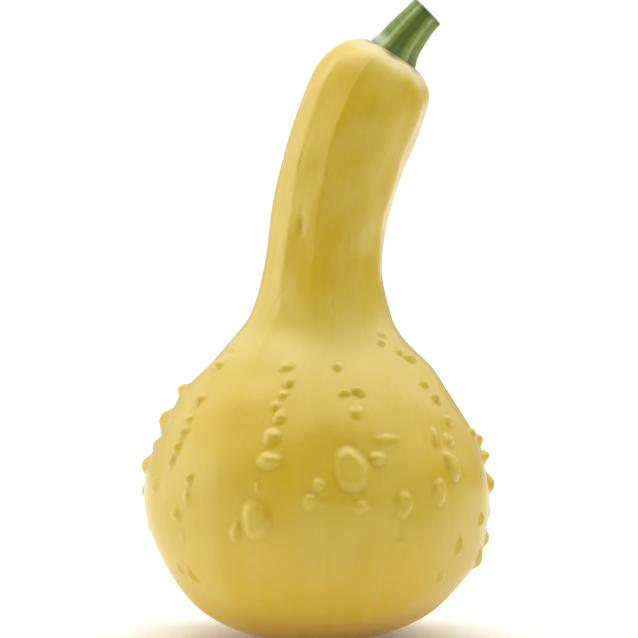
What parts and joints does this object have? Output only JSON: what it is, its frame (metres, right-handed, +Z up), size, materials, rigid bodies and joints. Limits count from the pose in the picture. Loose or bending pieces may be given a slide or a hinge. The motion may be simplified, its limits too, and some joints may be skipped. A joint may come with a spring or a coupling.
{
  "type": "crookneck squash",
  "caption": "Yellow crookneck squash with a round warty bulb, a bent neck and a short cut green stalk, standing on its blossom end.",
  "frame": {"origin": "middle of the small flat under the bulb, on the blossom end, where the squash touches the surface that it stands on", "axes": "+Z up from the resting flat towards the stalk; the neck bends over towards +X; -Y is the side seen from the front"},
  "size_m": [0.1113, 0.1086, 0.1997],
  "materials": {
    "squash_skin": "satin",
    "stalk_green": "matte"
  },
  "bodies": {
    "root": {"fruit": "squash_skin", "stalk": "stalk_green"}
  },
  "joints": []
}
